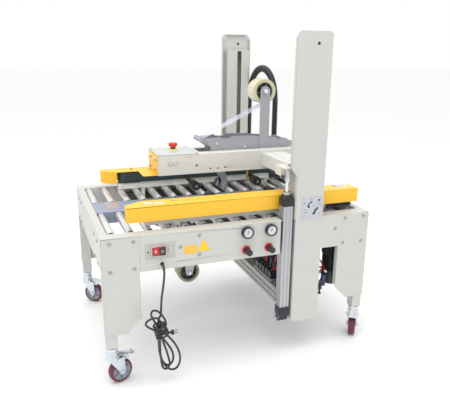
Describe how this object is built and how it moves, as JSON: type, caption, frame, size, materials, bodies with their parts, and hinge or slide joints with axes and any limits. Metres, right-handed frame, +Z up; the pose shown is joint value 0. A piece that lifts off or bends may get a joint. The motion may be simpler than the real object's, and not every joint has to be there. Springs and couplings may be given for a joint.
{
  "type": "carton sealer machine",
  "caption": "Random-size carton sealer: roller table on castors, two side belt units, and a taping head that rises between twin masts.",
  "frame": {"origin": "centre of the machine's box on the floor, between the castors", "axes": "+X is the carton's direction of travel, -Y is the control side, +Z is up"},
  "size_m": [1.2197, 0.9204, 1.38],
  "materials": {
    "cream_paint": "satin powder coat",
    "spine_paint": "satin",
    "ribbed_aluminium": "anodised",
    "roller_steel": "turned",
    "plate_grey": "matt",
    "red_plastic": "gloss",
    "black_plastic": "matt",
    "zinc": "zinc plated",
    "cover_white": "satin",
    "yellow_paint": "satin powder coat",
    "grey_paint": "satin",
    "tape_film": "glossy film edge",
    "tape_clear": "clear film",
    "roller_rubber": "matt",
    "black_paint": "satin",
    "beam_paint": "satin",
    "belt_rubber": "matt",
    "pulley_steel": "turned",
    "castor_tread": "polyurethane",
    "white_plastic": "matt",
    "cord_rubber": "matt"
  },
  "bodies": {
    "frame": {"frame_weldment": "cream_paint", "front_panel": "cream_paint", "rear_panel": "cream_paint", "mast_front": "cream_paint", "mast_rear": "cream_paint", "table_spine": "spine_paint", "cross_channel": "ribbed_aluminium", "table_roller_bank": "roller_steel", "panel_plates": "plate_grey", "gauges_and_regulators": "black_plastic", "frame_screws": "zinc", "lift_cylinders": "ribbed_aluminium", "umbilical_riser": "black_plastic", "lower_head_frame": "black_paint", "electrics_and_valves": "black_paint", "cord_gland": "white_plastic", "cord_run": "cord_rubber", "cord_hank": "cord_rubber", "cord_plug": "black_plastic"},
    "roller_1": {"table_roller_1": "roller_steel"},
    "roller_2": {"table_roller_2": "roller_steel"},
    "roller_3": {"table_roller_3": "roller_steel"},
    "roller_4": {"table_roller_4": "roller_steel"},
    "rocker": {"power_rocker": "red_plastic"},
    "knob_left": {"regulator_knob_left": "black_plastic"},
    "knob_right": {"regulator_knob_right": "black_plastic"},
    "head": {"head_beam": "cream_paint", "head_cover": "cover_white", "head_nose_plate": "yellow_paint", "tape_cartridge": "grey_paint", "tape_web": "tape_clear", "piston_rods": "zinc", "umbilical_drop": "black_plastic"},
    "hose_arch": {"umbilical_arch": "black_plastic"},
    "estop": {"estop_button": "red_plastic"},
    "upper_roll": {"upper_tape_roll": "tape_film"},
    "upper_front_arm": {"upper_front_arm": "grey_paint"},
    "upper_rear_arm": {"upper_rear_arm": "grey_paint"},
    "upper_front_roller": {"upper_front_roller": "roller_rubber"},
    "upper_rear_roller": {"upper_rear_roller": "roller_rubber"},
    "cutter": {"upper_cutter_arm": "grey_paint"},
    "lower_roll": {"lower_tape_roll": "tape_film"},
    "lower_front_arm": {"lower_front_arm": "black_paint"},
    "lower_rear_arm": {"lower_rear_arm": "black_paint"},
    "near_unit": {"near_guard": "yellow_paint", "near_base": "beam_paint", "near_belt": "belt_rubber"},
    "near_drive": {"near_drive_pulley": "pulley_steel"},
    "far_unit": {"far_guard": "yellow_paint", "far_base": "beam_paint", "far_belt": "belt_rubber"},
    "far_drive": {"far_drive_pulley": "pulley_steel"},
    "castor_front_left": {"castor_fork_front_left": "zinc"},
    "castor_front_left_wheel": {"castor_wheel_front_left": "castor_tread"},
    "castor_front_right": {"castor_fork_front_right": "zinc"},
    "castor_front_right_wheel": {"castor_wheel_front_right": "castor_tread"},
    "castor_rear_left": {"castor_fork_rear_left": "zinc"},
    "castor_rear_left_wheel": {"castor_wheel_rear_left": "castor_tread"},
    "castor_rear_right": {"castor_fork_rear_right": "zinc"},
    "castor_rear_right_wheel": {"castor_wheel_rear_right": "castor_tread"}
  },
  "joints": [
    {"name": "roller_1_spin", "type": "hinge", "parent": "frame", "child": "roller_1", "pos_m": [-0.55364, -0.20123, 0.611], "axis": [0, 1, 0], "continuous": true},
    {"name": "roller_2_spin", "type": "hinge", "parent": "frame", "child": "roller_2", "pos_m": [-0.47814, -0.20123, 0.611], "axis": [0, 1, 0], "continuous": true},
    {"name": "roller_3_spin", "type": "hinge", "parent": "frame", "child": "roller_3", "pos_m": [-0.40264, -0.20123, 0.611], "axis": [0, 1, 0], "continuous": true},
    {"name": "roller_4_spin", "type": "hinge", "parent": "frame", "child": "roller_4", "pos_m": [-0.32714, -0.20123, 0.611], "axis": [0, 1, 0], "continuous": true},
    {"name": "power_rocker_tilt", "type": "hinge", "parent": "frame", "child": "rocker", "pos_m": [-0.38464, -0.40823, 0.5565], "axis": [0, 0, 1], "range_deg": [0, 16]},
    {"name": "regulator_left_turn", "type": "hinge", "parent": "frame", "child": "knob_left", "pos_m": [-0.01964, -0.42523, 0.516], "axis": [0, 1, 0], "range_deg": [-270, 270]},
    {"name": "regulator_right_turn", "type": "hinge", "parent": "frame", "child": "knob_right", "pos_m": [0.08136, -0.42523, 0.516], "axis": [0, 1, 0], "range_deg": [-270, 270]},
    {"name": "head_lift", "type": "slide", "parent": "frame", "child": "head", "axis": [0, 0, 1], "range_m": [0, 0.36]},
    {"name": "hose_follow", "type": "slide", "parent": "frame", "child": "hose_arch", "axis": [0, 0, 1], "range_m": [0, 0.18], "deforming": ["umbilical_riser", "umbilical_drop"]},
    {"name": "estop_press", "type": "slide", "parent": "head", "child": "estop", "axis": [0, 0, -1], "range_m": [0, 0.005], "stiffness_N_per_m": 400, "springref_m": -0.002},
    {"name": "upper_roll_spin", "type": "hinge", "parent": "head", "child": "upper_roll", "pos_m": [0.22036, 0.01977, 1.122], "axis": [0, 1, 0], "continuous": true},
    {"name": "upper_front_arm_swing", "type": "hinge", "parent": "head", "child": "upper_front_arm", "pos_m": [-0.21864, 0.01977, 0.823], "axis": [0, -1, 0], "range_deg": [0, 38], "stiffness_Nm_per_rad": 3, "springref_deg": -17.19},
    {"name": "upper_rear_arm_swing", "type": "hinge", "parent": "head", "child": "upper_rear_arm", "pos_m": [0.08936, 0.01977, 0.823], "axis": [0, -1, 0], "range_deg": [0, 38]},
    {"name": "upper_front_roller_spin", "type": "hinge", "parent": "upper_front_arm", "child": "upper_front_roller", "pos_m": [-0.10764, 0.01977, 0.696], "axis": [0, 1, 0], "continuous": true},
    {"name": "upper_rear_roller_spin", "type": "hinge", "parent": "upper_rear_arm", "child": "upper_rear_roller", "pos_m": [0.20036, 0.01977, 0.696], "axis": [0, 1, 0], "continuous": true},
    {"name": "upper_cutter_swing", "type": "hinge", "parent": "head", "child": "cutter", "pos_m": [-0.00364, 0.01977, 0.8], "axis": [0, -1, 0], "range_deg": [0, 60], "stiffness_Nm_per_rad": 1.5, "springref_deg": -17.19},
    {"name": "lower_roll_spin", "type": "hinge", "parent": "frame", "child": "lower_roll", "pos_m": [-0.14864, 0.01977, 0.278], "axis": [0, 1, 0], "continuous": true},
    {"name": "lower_front_arm_swing", "type": "hinge", "parent": "frame", "child": "lower_front_arm", "pos_m": [-0.13364, 0.01977, 0.53], "axis": [0, 1, 0], "range_deg": [0, 18], "stiffness_Nm_per_rad": 12, "springref_deg": -20.05},
    {"name": "lower_rear_arm_swing", "type": "hinge", "parent": "frame", "child": "lower_rear_arm", "pos_m": [0.17436, 0.01977, 0.53], "axis": [0, 1, 0], "range_deg": [0, 18]},
    {"name": "near_unit_slide", "type": "slide", "parent": "frame", "child": "near_unit", "axis": [0, 1, 0], "range_m": [0, 0.15]},
    {"name": "near_drive_spin", "type": "hinge", "parent": "near_unit", "child": "near_drive", "pos_m": [0.46511, -0.28323, 0.69], "axis": [0, 0, 1], "continuous": true},
    {"name": "far_unit_slide", "type": "slide", "parent": "frame", "child": "far_unit", "axis": [0, -1, 0], "range_m": [0, 0.15]},
    {"name": "far_drive_spin", "type": "hinge", "parent": "far_unit", "child": "far_drive", "pos_m": [0.46511, 0.32277, 0.69], "axis": [0, 0, 1], "continuous": true},
    {"name": "castor_front_left_swivel", "type": "hinge", "parent": "frame", "child": "castor_front_left", "pos_m": [-0.57864, -0.38023, 0.14], "axis": [0, 0, 1], "continuous": true},
    {"name": "castor_front_left_roll", "type": "hinge", "parent": "castor_front_left", "child": "castor_front_left_wheel", "pos_m": [-0.54669, -0.3686, 0.05], "axis": [-0.342, 0.9397, 0], "continuous": true},
    {"name": "castor_front_right_swivel", "type": "hinge", "parent": "frame", "child": "castor_front_right", "pos_m": [0.54136, -0.38023, 0.14], "axis": [0, 0, 1], "continuous": true},
    {"name": "castor_front_right_roll", "type": "hinge", "parent": "castor_front_right", "child": "castor_front_right_wheel", "pos_m": [0.56086, -0.35238, 0.05], "axis": [-0.8192, 0.5736, 0], "continuous": true},
    {"name": "castor_rear_left_swivel", "type": "hinge", "parent": "frame", "child": "castor_rear_left", "pos_m": [-0.57864, 0.41977, 0.14], "axis": [0, 0, 1], "continuous": true},
    {"name": "castor_rear_left_roll", "type": "hinge", "parent": "castor_rear_left", "child": "castor_rear_left_wheel", "pos_m": [-0.55079, 0.40027, 0.05], "axis": [0.5736, 0.8192, 0], "continuous": true},
    {"name": "castor_rear_right_swivel", "type": "hinge", "parent": "frame", "child": "castor_rear_right", "pos_m": [0.54136, 0.41977, 0.14], "axis": [0, 0, 1], "continuous": true},
    {"name": "castor_rear_right_roll", "type": "hinge", "parent": "castor_rear_right", "child": "castor_rear_right_wheel", "pos_m": [0.51192, 0.40277, 0.05], "axis": [0.5, -0.866, 0], "continuous": true}
  ],
  "couplings": [
    {"joint": "hose_follow", "follows": "head_lift", "ratio": 0.5},
    {"joint": "upper_rear_arm_swing", "follows": "upper_front_arm_swing", "ratio": 1},
    {"joint": "lower_rear_arm_swing", "follows": "lower_front_arm_swing", "ratio": 1},
    {"joint": "far_unit_slide", "follows": "near_unit_slide", "ratio": 1}
  ]
}
